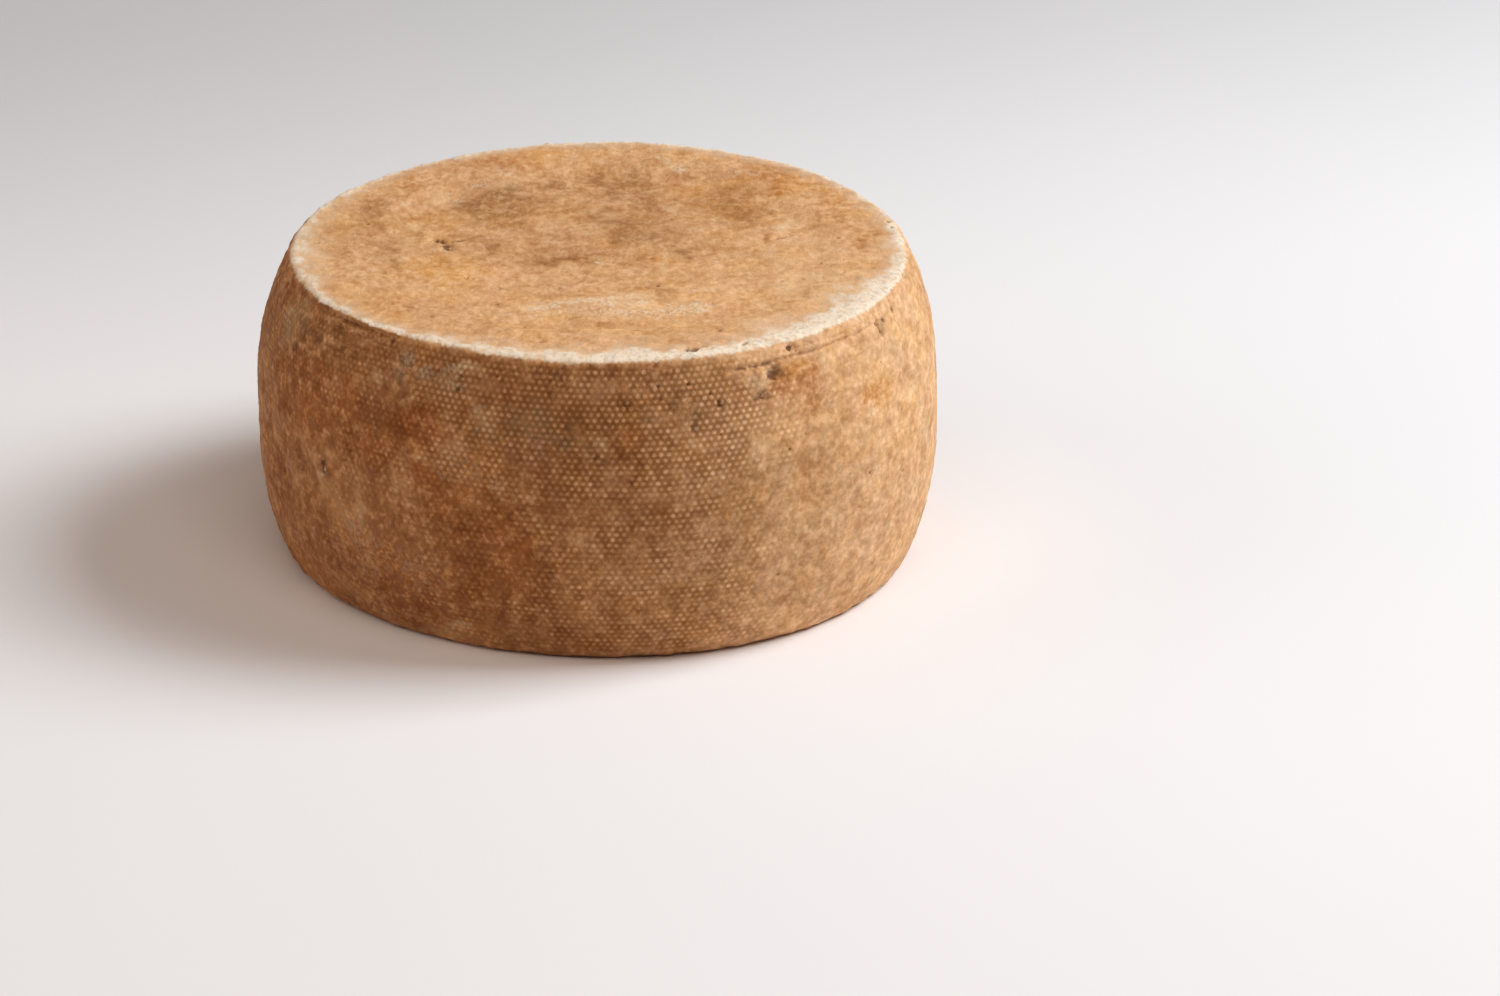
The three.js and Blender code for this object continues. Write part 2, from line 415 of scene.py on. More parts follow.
growth = dict(
    masks=["side", "brown", "press", "nubTop", "chalk", "pit",
           "mould", "rust", "ochre", "pale", "fleck", "streak"],
    brownRound=[(0, 0.1), (40, 0.35), (90, 0.65), (130, 0.4), (170, 0.8), (200, 1.0), (240, 1.0),
                (262, 1.0), (278, 0.8), (290, 0.6), (306, 0.2), (325, 0.0)],  # degrees, how brown
    pressRound=[(0, 0.3), (60, 0.5), (120, 0.45), (180, 0.4), (214, 0.38), (236, 0.58), (252, 0.8),
                (268, 0.95), (280, 1.0), (292, 0.85), (301, 0.4), (310, 0.15),
                (334, 0.08)],  # degrees, how clear the mould's pattern is
    chalkRound=[  # degrees, width, strength, how far it hangs over the rim
        (0, 9, 0.9, 0.4), (15, 6, 0.8, 0.3), (40, 5, 0.9, 0.2), (95, 5, 0.95, 0.2), (150, 5, 0.9, 0.2),
        (170, 8, 0.75, 0.4), (188, 10, 0.7, 0.9), (200, 7, 0.75, 1.4), (212, 5.5, 0.85, 1.2),
        (224, 4.5, 0.92, 0.6), (234, 5.5, 0.95, 0.2), (243, 8, 1.0, 0.1), (250, 11, 0.95, 0.4),
        (258, 9, 0.85, 0.4), (266, 13, 1.0, 1.8), (272, 16, 1.05, 0.3), (281, 16, 1.05, 0.0),
        (290, 13, 1.0, 0.0), (300, 12, 1.0, 0.0), (308, 15, 1.05, 0.1), (316, 19, 1.05, 0.2),
        (325, 19, 1.05, 0.4), (335, 16, 1.05, 0.5), (346, 12, 1.0, 0.6),
    ],
    topPatches=[  # mask, x, y, half width, half depth, strength
        ("brown", 0, 40, 62, 44, 0.42), ("brown", -46, 50, 14, 18, 0.48), ("brown", -14, -5, 15, 9, 0.52),
        ("brown", 12, 12, 12, 12, 0.45), ("brown", 19, -36, 6, 6, 0.78), ("brown", 31, 0, 4, 6, 0.65),
        ("brown", 17, -7, 3, 3, 0.91), ("brown", 10, 70, 5, 9, 0.72), ("brown", 1, 66, 4, 8, 0.52),
        ("brown", 44, 50, 12, 9, 0.65), ("brown", -42, 3, 3, 6, 0.91), ("brown", -56, -17, 4, 3, 0.65),
        ("brown", -73, -15, 3, 10, 0.52), ("brown", -84, 34, 4, 14, 0.52), ("brown", 2, 28, 9, 4, 0.65),
        ("brown", -5, 37, 5, 6, 0.59), ("brown", 20, 45, 4, 13, 0.59), ("brown", -13, 14, 6, 5, 0.52),
        ("brown", 52, 38, 4, 12, 0.52), ("brown", 60, 44, 3, 6, 0.52), ("brown", -34, 55, 8, 12, 0.33),
        ("brown", -4, 78, 5, 6, 0.91), ("brown", -19, 67, 4, 6, 0.78), ("brown", 4, 60, 3, 9, 0.52),
        ("brown", -55, 47, 6, 9, 0.5), ("brown", -35, 31, 4, 6, 0.5), ("brown", -50, 12, 4, 4, 0.52),
        ("brown", -80, 0, 4, 9, 0.45), ("brown", -18, -10, 14, 4, 0.65), ("brown", 48, 36, 5, 8, 0.65),
        ("brown", 14, 55, 4, 8, 0.52), ("brown", 7, 18, 3, 7, 0.65), ("brown", 46, 62, 8, 5, 0.52),
        ("rust", 63.5, 65, 4, 7, 0.9), ("rust", 59, 72, 4, 5, 0.5), ("rust", 98, 12, 2.5, 5, 0.9),
        ("rust", 97, 4.5, 2.5, 4, 0.9), ("rust", 97, 8, 7, 10, 0.35), ("rust", -75, 64, 9, 16, 0.55),
        ("rust", -67, -63, 7, 7, 0.45), ("rust", -10, -8, 13, 7, 0.45), ("rust", 55, 80, 22, 12, 0.5),
        ("rust", 84, 52, 12, 22, 0.45), ("rust", -42, 88, 22, 10, 0.4), ("rust", 5, -70, 16, 7, 0.25),
        ("rust", -3, -31, 6, 5, 0.4), ("rust", 3, -41, 5, 3, 0.5), ("rust", -28, -68, 16, 5, 0.3),
        ("rust", 61, 66, 3.5, 5, 0.8), ("rust", -12, 68, 14, 8, 0.3), ("rust", -88, 38, 6, 14, 0.35),
        ("brown", -86, 6, 14, 44, 0.36), ("rust", -20, -82, 24, 5, 0.25), ("rust", 62, 14, 3, 5, 0.6),
        ("rust", -40, 28, 10, 16, 0.25), ("mould", -44, 54, 12, 15, 0.24), ("mould", -36, 63, 8, 10, 0.2),
        ("mould", -44, 36, 7, 10, 0.25), ("mould", -26, 75, 8, 9, 0.2), ("mould", 28, 2, 9, 9, 0.3),
        ("mould", 11, 11, 8, 10, 0.3), ("mould", -73, -22, 4, 9, 0.3), ("mould", -15, 62, 8, 12, 0.25),
        ("mould", 50, -23, 9, 6, 0.2), ("mould", 22, -46, 3, 3, 0.35), ("mould", 14, -15, 3, 4, 0.35),
        ("mould", -74, -27, 3, 3, 0.25), ("mould", -68, 18, 4, 6, 0.3), ("mould", 20, 80, 30, 8, 0.2),
        ("ochre", -62, 30, 10, 16, 0.5), ("ochre", -44, -24, 16, 14, 0.5), ("ochre", 40, 52, 18, 14, 0.6),
        ("ochre", 28, -10, 22, 12, 0.4), ("ochre", 2, 8, 5, 10, 0.5), ("ochre", -30, -50, 18, 12, 0.3),
        ("ochre", -22, 100, 14, 8, 0.5), ("ochre", 55, -48, 14, 12, 0.4), ("ochre", 30, 68, 14, 10, 0.3),
        ("ochre", -75, 66, 10, 18, 0.5), ("ochre", 70, 70, 20, 16, 0.6), ("ochre", -40, 90, 24, 9, 0.5),
        ("ochre", -60, -20, 16, 16, 0.4), ("ochre", 0, 24, 24, 18, 0.3), ("ochre", -10, 68, 20, 10, 0.4),
        ("pale", 66, 25, 4, 4.5, 1.3), ("pale", 67, 34, 5, 6, 0.5), ("pale", 61, 0, 4, 7, 0.6),
        ("pale", 84, -36, 15, 26, 0.45), ("pale", 84, 10, 12, 20, 0.3), ("pale", 14, -88, 34, 7, 0.35),
        ("pale", -98, -20, 8, 34, 0.2), ("pale", -84, -52, 9, 14, 0.2), ("pale", 55, -72, 18, 10, 0.35),
        ("pale", 1, 40, 4, 5, 0.4), ("pale", -34, 63, 5, 6, 0.4), ("pale", 68, -12, 6, 10, 0.4),
        ("pale", 72, 12, 6, 8, 0.45), ("pale", 58, 66, 3, 5, 0.6), ("pale", -69, 0, 4, 14, 0.5),
        ("pale", -24, 26, 6, 9, 0.4), ("pale", -45, 15, 4, 5, 0.5), ("pale", 25, 41, 4, 5, 0.5),
        ("pale", -1, 35, 3, 4, 0.5), ("pale", 105, 25, 1.6, 2.4, 1.0), ("pale", -105, -12, 7, 26, 0.4),
        ("pale", 50, -22, 22, 14, 0.35), ("pale", 66, -36, 8, 8, 0.4), ("pale", -62, 50, 8, 10, 0.4),
        ("pale", -12, -18, 10, 7, 0.35), ("pale", 8, -50, 20, 7, 0.4), ("fleck", 8, -50, 8, 4, 1.0),
        ("fleck", -8, -50, 12, 3, 0.9), ("fleck", -20, -58, 5, 4, 0.8), ("fleck", 22, -57, 13, 5, 1.0),
        ("fleck", 5, -63, 24, 6, 0.6), ("fleck", 33, -38, 9, 4, 0.7), ("fleck", -60, 52, 6, 9, 0.7),
        ("fleck", -48, 66, 8, 7, 0.6), ("fleck", -36, 77, 8, 7, 0.7), ("fleck", 0, -10, 2.5, 4, 1.0),
        ("fleck", 48, 78, 16, 6, 0.5), ("fleck", 66, -36, 5, 4, 0.7), ("fleck", 64, 3, 6, 8, 0.5),
        ("fleck", 66, 26, 5, 5, 1.0), ("fleck", 20, -56, 16, 7, 1.0), ("fleck", 30, 18, 30, 14, 0.3),
        ("fleck", -8, 24, 14, 12, 0.4),
    ],
    topStrokes=[  # mask, points, half width, strength
        ("fleck", [(18, 94.5), (22, 89), (28, 82)], 2.6, 0.8),
        ("pale", [(18, 94.5), (22, 89), (28, 82)], 1.8, 0.25),
        ("fleck", [(-26, -61), (-12, -53.5), (-2, -50), (12, -48)], 1.8, 1.3),
        ("pale", [(-26, -61), (-12, -53.5), (-2, -50), (12, -48)], 2.0, 0.9),
        ("fleck", [(8, -53), (22, -57), (36, -57)], 3.0, 1.1),
        ("pale", [(8, -53), (22, -57), (36, -57)], 3.0, 0.5),
        ("fleck", [(-34, -66), (-22, -66), (-8, -60)], 1.5, 0.8),
    ],
    sidePatches=[  # mask, degrees, height, half width, half height, strength
        ("mould", 245.5, 103.5, 9, 4.5, 0.55), ("mould", 236.5, 102, 9, 5, 0.5),
        ("mould", 250.6, 89, 6, 5, 0.35), ("mould", 256, 93, 6, 4, 0.25), ("mould", 260, 93, 5, 4, 0.3),
        ("mould", 267, 88, 5, 6, 0.5), ("mould", 271, 81, 5, 4, 0.7), ("mould", 273.5, 96, 4, 4, 0.35),
        ("mould", 263.5, 105, 6, 3, 0.4), ("mould", 257, 88, 15, 12, 0.3),
        ("mould", 268, 93, 14, 12, 0.2), ("mould", 278, 98, 8, 6, 0.4),
        ("mould", 301.8, 103.6, 4, 4.4, 1.0), ("mould", 299.4, 97.5, 3, 3.6, 0.8),
        ("mould", 213, 53, 5, 5, 0.5), ("mould", 235, 99.5, 2.5, 3, 0.8), ("mould", 288, 95, 3.5, 3, 0.6),
        ("mould", 219.6, 57, 3, 4.5, 0.9), ("mould", 205, 98, 16, 9, 0.5),
        ("mould", 218, 103, 12, 6, 0.45), ("mould", 329.8, 105.5, 1.6, 4, 0.8),
        ("mould", 230, 108, 14, 3, 0.4), ("mould", 286, 100, 4, 5, 0.4), ("mould", 291.6, 97, 3, 4, 0.6),
        ("rust", 212, 78, 16, 16, 1.17), ("rust", 234, 84, 14, 9, 1.17), ("rust", 230, 69, 13, 7, 1.04),
        ("rust", 226, 84, 5, 6, 0.78), ("rust", 216, 93, 6, 5, 0.65), ("rust", 243, 66, 7, 10, 1.04),
        ("rust", 245, 54, 8, 8, 0.78), ("rust", 256, 46, 14, 14, 1.3), ("rust", 237, 18, 18, 10, 0.91),
        ("rust", 222, 26, 14, 10, 0.65), ("rust", 252, 30, 18, 14, 1.17), ("rust", 234, 34, 12, 12, 0.65),
        ("rust", 239, 88, 6, 10, 0.78), ("rust", 234, 40, 12, 10, 0.39),
        # The rust band at 280 degrees, 111 mm and the mould band at 283 degrees, just under the chalk at
        # the front, are dirt and painted shadow of the chalk's edge.
        ("rust", 272, 109, 16, 2.5, 0.35), ("rust", 280, 111, 22, 1.4, 0.7),
        ("mould", 283, 111.2, 16, 1.2, 0.5), ("mould", 208, 100, 10, 8, 0.4),
        ("rust", 204, 40, 9, 24, 0.65), ("rust", 206, 80, 12, 12, 0.4), ("rust", 222, 76, 16, 10, 0.4),
        ("rust", 323.6, 86, 7, 6, 0.78), ("rust", 311, 92, 8, 8, 0.52), ("ochre", 224, 92, 4, 6, 0.9),
        ("ochre", 242.5, 86, 4, 9, 0.7), ("ochre", 219, 86, 5, 3, 0.5), ("ochre", 276, 92, 4, 5, 0.6),
        ("ochre", 250, 62, 12, 10, 0.5), ("ochre", 216, 60, 12, 10, 0.3), ("ochre", 212, 10, 22, 6, 0.6),
        ("ochre", 246, 8, 16, 5, 0.8), ("ochre", 325, 85, 10, 9, 0.9), ("ochre", 255, 76, 10, 8, 0.4),
        ("ochre", 240, 110.5, 8, 1.6, 0.6), ("ochre", 305, 104, 8, 6, 0.5),
        ("pale", 248.4, 105.6, 4, 2.2, 0.9), ("pale", 245, 103, 7, 3, 0.5),
        ("pale", 238, 103, 6, 3, 0.35), ("pale", 251, 90.5, 5, 3, 0.5), ("pale", 270, 102, 14, 5, 0.3),
        ("pale", 256, 96, 8, 6, 0.2), ("pale", 218.3, 55, 2, 5, 0.9), ("pale", 229.3, 48, 4, 7, 0.6),
        ("pale", 214, 59, 3, 4, 0.4), ("pale", 204, 57, 7, 3, 0.5), ("pale", 241.5, 74, 2.4, 2, 0.8),
        ("pale", 230.5, 97, 4, 1.6, 0.8), ("pale", 300, 101.5, 2, 1.5, 1.0),
        # The pale patch at 202 degrees, 66 mm on the far left edge is painted sheen.
        ("pale", 271, 89, 1.2, 1.5, 0.9), ("pale", 202, 66, 10, 10, 0.25), ("pale", 248, 74, 8, 8, 0.3),
        ("pale", 246, 8, 12, 4, 0.4), ("pale", 330, 98, 22, 10, 0.4), ("pale", 204, 104, 12, 5, 0.35),
        ("pale", 222, 109.4, 16, 0.9, 0.7), ("pale", 308, 109.0, 14, 0.8, 0.6),
        ("pale", 326, 108.5, 12, 0.7, 0.7), ("pale", 238, 3.5, 22, 3, 0.35),
        # The rust band at 268 degrees, 110 mm and the mould band at 262 degrees, 109.5 mm, just under the
        # chalk, are dirt and painted shadow of the chalk's edge.
        ("mould", 228, 4, 30, 3.5, 0.4), ("rust", 268, 110, 34, 2.2, 0.3),
        ("mould", 262, 109.5, 20, 2.0, 0.5), ("mould", 238, 103, 16, 6, 0.12),
        ("pale", 288, 100, 14, 9, 0.2), ("ochre", 307, 101, 9, 7, 0.8), ("rust", 307, 100, 10, 9, 0.6),
        # The mould patch at 198 degrees, 72 mm darkens and greys the far left edge: painted shade.
        ("mould", 198, 72, 12, 40, 0.25), ("pale", 224, 44, 10, 12, 0.25), ("fleck", 248, 74, 10, 9, 0.8),
        ("fleck", 236, 103, 12, 5, 0.8), ("fleck", 246, 104, 8, 4, 1.0), ("fleck", 228, 35, 16, 16, 0.6),
        ("fleck", 241, 28, 18, 14, 0.5), ("fleck", 254.4, 69.5, 3, 3, 1.0), ("fleck", 251, 93, 3, 3, 0.8),
        ("fleck", 219, 53, 4, 5, 0.7), ("fleck", 246, 8, 12, 4, 0.7), ("fleck", 262, 84, 12, 10, 0.5),
        ("pale", 249, 104, 12, 4, 0.35), ("pale", 290, 104, 5, 4, 0.35), ("pale", 202, 97, 10, 6, 0.4),
        ("pale", 245, 96, 12, 5, 0.28), ("pale", 262, 95, 10, 6, 0.35), ("pale", 279, 96, 5, 6, 0.3),
        ("pale", 257, 86, 14, 6, 0.3), ("pale", 268, 86, 8, 6, 0.3), ("pale", 224, 10, 36, 6, 0.2),
        ("rust", 303, 103, 5, 5, 0.6), ("rust", 301, 97, 7, 4, 0.6),
    ],
    hiddenPatches=52, hiddenSeed=5, hiddenRound=(-4, 192), hiddenLevels=(4, 109),  # degrees, millimetres
    hiddenKinds=["mould", "mould", "rust", "rust", "ochre", "pale", "fleck"],
    hiddenAcross=(4, 22), hiddenTall=(3, 15), hiddenStrength=(0.35, 0.9), hiddenPaleShare=0.45,
    farDrift=(12, 3.5, 21), nearDrift=(5, 1.4, 24),  # what bends the patches' edges: size, reach, seed
    nubRise=0.34, nubGap=0.10,  # millimetres, where the imprint is full
    pressBelow=0.62, pressFrom=58, pressOver=32,  # its share low down, and where it grows to full
    pressUneven=[(9, 0.5, 2), (3.5, 0.3, 3)],  # size, share, seed
    chalkWidthUneven=[(9, 0.35, 5), (3.2, 0.15, 6)],
    chalkStrengthUneven=[(6, 0.3, 8), (2.6, 0.15, 11)],
    chalkDust=0.55,  # strength of the dust further in, as a share of the chalk's
    crustRise=0.45, bloomRise=0.14, rimWave=0.2, footWave=0.25,  # millimetres
    lumps=[(12, 0.20, 51), (4.2, 0.10, 52), (2.4, 0.08, 56)],  # width, height, seed
)


def hiddenGrowth():  # drawn patches, of the kinds and sizes that the placed ones have
    draw = random.Random(growth["hiddenSeed"])
    made = []
    for _ in range(growth["hiddenPatches"]):
        mask = draw.choice(growth["hiddenKinds"])
        at, level = draw.uniform(*growth["hiddenRound"]), draw.uniform(*growth["hiddenLevels"])
        across, tall = draw.uniform(*growth["hiddenAcross"]), draw.uniform(*growth["hiddenTall"])
        strength = draw.uniform(*growth["hiddenStrength"])
        strength *= growth["hiddenPaleShare"] if mask == "pale" else 1.0
        made.append((mask, at, level, across, tall, strength))
    return made


def roundAbout(entries, degrees):  # eases between (degrees, value, ...) entries that go round the wheel
    first = entries[0]
    around = entries + [(first[0] + 360, *first[1:])]
    for (start, *low), (end, *high) in zip(around, around[1:]):
        if degrees <= end:
            t = smooth((degrees - start) / (end - start))
            return [a + t * (b - a) for a, b in zip(low, high)]


def imprint(p, degrees):  # how clear the mould's pattern is
    below, grown = growth["pressBelow"], smooth((p.z - growth["pressFrom"]) / growth["pressOver"])
    press = roundAbout(growth["pressRound"], degrees)[0] * (below + (1 - below) * grown)
    press *= uneven(p, growth["pressUneven"])
    press *= 1 - 0.8 * seamOpening(math.radians(degrees)) * bell(p.z - seamZ - 0.6, 2.4)
    return min(1.0, max(0.0, press)) * smooth((p.z - 2) / 4) * smooth((height - 1.2 - p.z) / 1.6)


def crust(p, r, degrees):  # chalk on the top face along the rim
    width, strength, over = roundAbout(growth["chalkRound"], degrees)
    inward = (rimRadius - r) - (height - p.z)
    width *= uneven(p, growth["chalkWidthUneven"])
    strength *= uneven(p, growth["chalkStrengthUneven"])
    start = smooth((inward + 0.9 + over * (1 + 0.5 * wander(p, 4, 9)) + 0.5 * wander(p, 3, 10)) / 1.2)
    solid = smooth((1.25 * width - inward) / (1.15 * width))  # fades over nearly the whole width
    dusty = growth["chalkDust"] * smooth((1.7 * width + 6 - inward) / (1.5 * width + 6))
    return min(1.0, max(0.0, strength)) * start * max(solid, dusty)


def addPatches(found, patches, offset, share=1.0):  # offset gives millimetres from a patch's middle
    for mask, first, second, across, tall, strength in patches:
        u, v = offset(first, second)
        gap = (u / across) ** 2 + (v / tall) ** 2
        if gap < 5:
            found[mask] += share * strength * math.exp(-gap)


def masksAt(p, sidePatches, topStrokes):
    r = math.hypot(p.x, p.y)
    degrees = math.degrees(math.atan2(p.y, p.x)) % 360
    found = dict.fromkeys(growth["masks"], 0.0)
    side = smooth((height - 0.35 - p.z) / 0.9) if r > rimFlat - 1 or p.z < 1 else 0.0
    edge = roundAbout(growth["chalkRound"], degrees)[2]
    side *= smooth((0.9 - (rimRadius - r) + (height - p.z) - 0.8 * edge) / 1.2) if p.z > height - 6 else 1.0
    found["side"] = side
    if p.z > height - 12 and r > 88:
        found["chalk"] = crust(p, r, degrees)
    drift = drifting(p, *growth["farDrift"])
    moved = p + drift + drifting(p, *growth["nearDrift"])
    if side < 1:
        addPatches(found, growth["topPatches"], lambda x, y: (moved.x - x, moved.y - y), 1 - side)
        for mask, points, width, strength in topStrokes:
            gap = distanceAlong(p + 0.3 * drift, points)[0]
            found[mask] += (1 - side) * strength * bell(gap, width)
    if p.z < 0.01 and r < footFlat:
        found["brown"] = 0.6 + 0.3 * wander(p, 22, 13)
    elif side > 0:
        found["press"] = side * imprint(p, degrees)
        found["brown"] += side * (roundAbout(growth["brownRound"], degrees)[0] + 0.12 * wander(p, 26, 12))
        lines = 0.2 + 0.8 * bell(turnBetween(degrees, 214), 30)
        found["streak"] = side * lines * smooth((p.z - 90) / 14) * (0.6 + 0.4 * wander(p, 30, 14))
        turn = math.degrees(math.atan2(moved.y, moved.x))
        addPatches(found, sidePatches,
                   lambda at, level: (radius * math.radians(turnBetween(turn, at)), moved.z - level), side)
    return found


def sunkenMarks(bm, allMarks):  # by vertex, how far the marks sink or lift it, and how dark their painted shade is there
    tree = vertexTree(bm)
    cut = {}
    for points, width, depth, lip in allMarks:
        pinhole = (points[-1] - points[0]).length < 0.1
        for index in nearLine(tree, points, width, marks["reach"] * width):
            p = bm.verts[index].co
            gap, along = distanceAlong(p, points)
            gap += marks["ragged"] * width * wander(p, 1.8, 41, 2)
            ends = 1.0 if pinhole else 0.35 + 0.65 * smooth(min(along, 1 - along) * 4)
            hole = ends * smooth(1.25 - gap / width)
            lift = lip * bell(gap - 1.9 * width, 0.7 * width)
            # painted shade in the hole, darker where the mark is deeper
            holeShade = hole * min(1.0, 0.25 + 0.6 * depth)
            sink, dark = cut.get(index, (0.0, 0.0))
            cut[index] = (min(sink, -depth * hole) if hole > 0.02 else sink + lift, max(dark, holeShade))
    return cut


def riseAt(p, found):  # the rind's fine relief, millimetres
    r = math.hypot(p.x, p.y)
    rise = growth["nubRise"] * found["nubTop"] - growth["nubGap"] * found["press"]
    if p.z > 1.0 or r > footFlat:
        rise += sum(lift * wander(p, size, seed) for size, lift, seed in growth["lumps"])
    rise += growth["crustRise"] * found["chalk"] * (0.7 + 0.6 * wander(p, 3.0, 53))
    bloom = min(1.0, found["pale"] + found["fleck"])
    rise += growth["bloomRise"] * bloom * (0.4 + wander(p, 2.6, 54)) * (1 - found["side"])
    rim = bell((rimRadius - r) - (height - p.z), 5.0) if p.z > height - 14 else 0.0
    rise += growth["rimWave"] * rim * wander(p, 34, 55)
    return rise + growth["footWave"] * bell(p.z - 2, 4) * wander(p, 6, 57)


def grownSurface(bm, allMarks):  # settles the wheel, raises and sinks its fine relief, and writes the masks
    nub = bm.verts.layers.float["nub"]
    layers = {name: bm.verts.layers.float.new(name) for name in growth["masks"]}
    bm.normal_update()
    bm.verts.index_update()
    cut = sunkenMarks(bm, allMarks)
    sidePatches = growth["sidePatches"] + hiddenGrowth()
    topStrokes = [(mask, [onTop(*point) for point in points], width, strength)
                  for mask, points, width, strength in growth["topStrokes"]]
    places = []
    for v in bm.verts:
        p = v.co
        found = masksAt(p, sidePatches, topStrokes)
        sink, found["pit"] = cut.get(v.index, (0.0, 0.0))
        found["nubTop"] = v[nub] * found["press"] * (0.85 + 0.25 * noise.cell(p * 1.7))
        places.append(settled(p) + v.normal * (riseAt(p, found) + sink))
        for name, layer in layers.items():
            v[layer] = min(1.0, max(0.0, found[name]))
    for v, place in zip(bm.verts, places):
        v.co = place
        v.co.z = max(0.0, place.z)
    print("surface grown:", len(bm.verts), "vertices")


def broughtToFrame(bm):  # to metres, and over the middle of the solid that it stands for
    low, high = (Vector(map(f, zip(*(v.co for v in bm.verts)))) for f in (min, max))
    frameLow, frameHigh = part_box("cheese_wheel")
    middle = (frameLow + frameHigh) / 2 / metresPerMm
    shift = Vector((middle.x - (low.x + high.x) / 2, middle.y - (low.y + high.y) / 2, 0))
    bmesh.ops.translate(bm, vec=shift, verts=bm.verts)
    bmesh.ops.scale(bm, vec=(metresPerMm,) * 3, verts=bm.verts)
    print("brought to the frame, size", [round(s, 1) for s in high - low], "mm")


def cheeseWheel(finish):
    bm = turnedWheel()
    allMarks = markList()
    refineAround(bm, allMarks)
    grownSurface(bm, allMarks)
    broughtToFrame(bm)
    bmesh.ops.recalc_face_normals(bm, faces=bm.faces)
    for face in bm.faces:
        face.smooth = True
    data = bpy.data.meshes.new("rind_wheel")
    bm.to_mesh(data)
    bm.free()
    data.materials.append(finish)
    piece = bpy.data.objects.new("rind_wheel", data)
    bpy.context.scene.collection.objects.link(piece)
    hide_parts("cheese_wheel")
    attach(piece, "root")


# Finishes

def paint(r, g, b):  # a colour as painters' programs give it, 0 to 255, for a shader
    def linear(c):
        c /= 255
        return c / 12.92 if c <= 0.04045 else ((c + 0.055) / 1.055) ** 2.4
    return (linear(r), linear(g), linear(b), 1.0)


def addNode(tree, kind, settings=None, **values):
    made = tree.nodes.new(kind)
    for name, value in (settings or {}).items():
        setattr(made, name, value)
    for name, value in values.items():
        fill(tree, made.inputs[name], value)
    return made


def fill(tree, socket, value):
    if isinstance(value, bpy.types.NodeSocket):
        tree.links.new(value, socket)
    else:
        socket.default_value = value


def maths(tree, operation, first, second=0.0, clamp=False):
    made = addNode(tree, "ShaderNodeMath", dict(operation=operation, use_clamp=clamp))
    fill(tree, made.inputs[0], first)
    fill(tree, made.inputs[1], second)
    return made.outputs[0]


def between(tree, value, low, high, toLow=0.0, toHigh=1.0):  # an eased step from low to high
    made = addNode(tree, "ShaderNodeMapRange", dict(interpolation_type="SMOOTHSTEP"), Value=value)
    for name, number in (("From Min", low), ("From Max", high), ("To Min", toLow), ("To Max", toHigh)):
        fill(tree, made.inputs[name], number)
    return made.outputs[0]


def blended(tree, share, first, second, mode="MIX"):
    made = addNode(tree, "ShaderNodeMix", dict(data_type="RGBA", blend_type=mode))
    for index, value in ((0, share), (6, first), (7, second)):
        fill(tree, made.inputs[index], value)
    return made.outputs[2]


def cloud(tree, place, size, detail=3.0, roughness=0.55, seed=0.0, distortion=0.0):
    moved = addNode(tree, "ShaderNodeVectorMath", dict(operation="ADD"))
    fill(tree, moved.inputs[0], place)
    moved.inputs[1].default_value = (seed, 0.7 * seed, -0.4 * seed)
    made = addNode(tree, "ShaderNodeTexNoise", Vector=moved.outputs[0], Scale=1 / size, Detail=detail,
                   Roughness=roughness, Distortion=distortion)
    return made.outputs[0]


rind = dict(
    tan=(224, 173, 121), toast=(184, 132, 84),  # the top face, and its dish where it has darkened
    fair=(230, 181, 132), bark=(174, 119, 72),  # the side, young and aged
    bloom=(240, 202, 156), dust=(246, 220, 186),
    # the darkest colour on the next line is painted shade in cracks and pits
    chalk=(253, 238, 214), pore=(230, 206, 176), bluish=(204, 196, 190), holeShadeColour=(96, 62, 38),
    rustTint=(0.80, 0.66, 0.52), mouldTint=(0.62, 0.66, 0.68),  # times the ground
    ochreTint=(1.06, 0.98, 0.76), roseTint=(1.0, 0.96, 1.01), dullTint=(0.86, 0.90, 0.95),
    slow=0.026, cloud=0.016, blotch=0.009, mottle=0.0042, grain=0.0023, speck=0.0013,  # spots, metres
    drawn=(1.1, 0.75, 1.0),  # the fine grain runs a little along Y, as the boards of the press do
    closeTone=(1.0, 1.45, 2.25),  # how much more the fine tone swings in green and blue than in red
    broadOnTop=(1.0, 1.45, 2.1), broadOnSide=(1.0, 1.25, 1.5),  # the same for tones 3 mm across and more
    closeSwing=(0.85, 1.12),  # strength of the fine tones on the top face and on the side
    nubTone=0.28, hollowShade=0.33,  # tops paler, and painted shade in the hollows, against the ground where the imprint is full
    roughness=(0.74, 0.95),
    fleckShare=(0.72, 0.3),  # how solid the flecks are on the top face and on the side
    bloomShare=0.55, chalkShare=0.92, holeShadeShare=0.75,  # how solid each is at its fullest
    streakSize=0.0016, streakDrawn=(0.22, 0.22, 1.0),  # the fine lines that run round under the rim
    specular=0.3, chalkRoughness=0.96,
    relief=(1.0, 0.28),  # strength of the finest relief on the top face and on the side
    agedRelief=0.4, reliefDepth=0.0005,  # more of it where the side is aged, and its depth in metres
)


def maskOf(tree, name):
    return addNode(tree, "ShaderNodeAttribute", dict(attribute_name=name)).outputs["Fac"]


def stretchedBy(tree, place, factors):
    made = addNode(tree, "ShaderNodeVectorMath", dict(operation="MULTIPLY"))
    fill(tree, made.inputs[0], place)
    fill(tree, made.inputs[1], factors)
    return made.outputs[0]


def frayed(tree, mask, noiseValue, pull=0.6, low=0.05, high=1.0):  # a mask that breaks up into grains
    spread = between(tree, noiseValue, 0.3, 0.7, 1 - pull, 1 + pull)
    return between(tree, maths(tree, "MULTIPLY", mask, spread), low, high)


